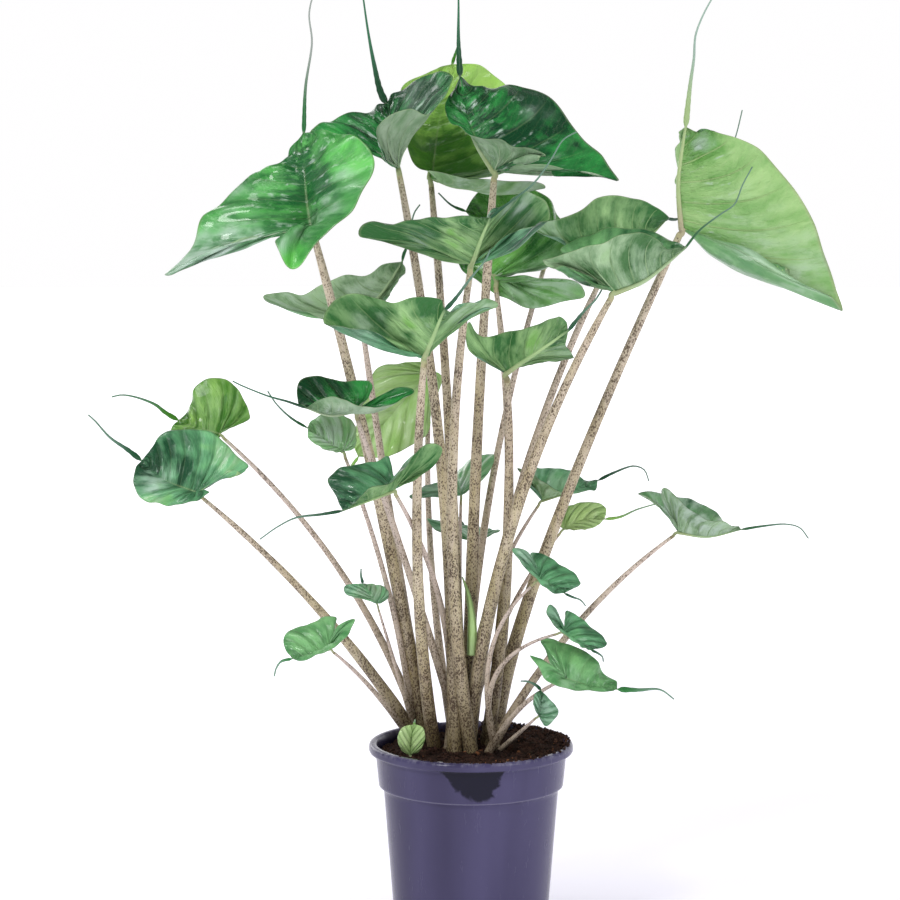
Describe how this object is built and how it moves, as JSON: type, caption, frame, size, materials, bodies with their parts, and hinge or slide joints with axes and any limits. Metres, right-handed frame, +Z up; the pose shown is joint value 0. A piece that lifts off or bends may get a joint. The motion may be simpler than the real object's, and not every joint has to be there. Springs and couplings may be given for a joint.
{
  "type": "potted plant",
  "caption": "Tall potted stingray alocasia: speckled stalks rise from a dark nursery pot of soil and carry ray-shaped green blades, each with two wings and a long thin tail.",
  "frame": {"origin": "centre of the pot's foot, on the floor", "axes": "+X to the right and +Y to the back as seen from the front, +Z up along the stalks"},
  "size_m": [0.7684, 0.3976, 0.978],
  "materials": {
    "pot": "glossy",
    "soil": "matt",
    "stalk": "satin",
    "leaf_deep": "satin",
    "leaf_bright": "satin",
    "leaf_cool": "satin",
    "leaf_grey": "satin",
    "leaf_young": "satin"
  },
  "bodies": {
    "root": {"pot": "pot", "soil": "soil", "stalks_left": "stalk", "stalks_main": "stalk", "stalks_right": "stalk", "stalk_middle_front": "stalk", "stalks_back": "stalk", "stalks_right_outer": "stalk", "blade_great_left": "leaf_bright", "blade_top_left": "leaf_deep", "blade_top_back": "leaf_young", "blade_top_middle": "leaf_deep", "blade_great_right": "leaf_grey", "blade_upper_front": "leaf_cool", "blade_upper_back": "leaf_deep", "blade_upper_low": "leaf_deep", "blade_right_front": "leaf_grey", "blade_right_back": "leaf_cool", "blade_middle_right": "leaf_cool", "blade_middle_left_back": "leaf_grey", "blade_middle_front": "leaf_cool", "blade_far_left_front": "leaf_cool", "blade_far_left_back": "leaf_young", "blade_left_cupped": "leaf_deep", "blade_left_curled": "leaf_grey", "blade_young_hanging": "leaf_young", "blade_low_front": "leaf_cool", "blade_left_bud": "leaf_cool", "blade_low_left": "leaf_bright", "blade_far_right": "leaf_grey", "blade_right_slim": "leaf_cool", "blade_right_young": "leaf_young", "blade_right_folded": "leaf_cool", "blade_right_small": "leaf_cool", "blade_low_right": "leaf_bright", "blade_right_bud": "leaf_cool", "blade_back_small": "leaf_cool", "blade_back_low": "leaf_cool", "sprout_left": "leaf_young", "shoot_middle": "leaf_young"}
  },
  "joints": []
}
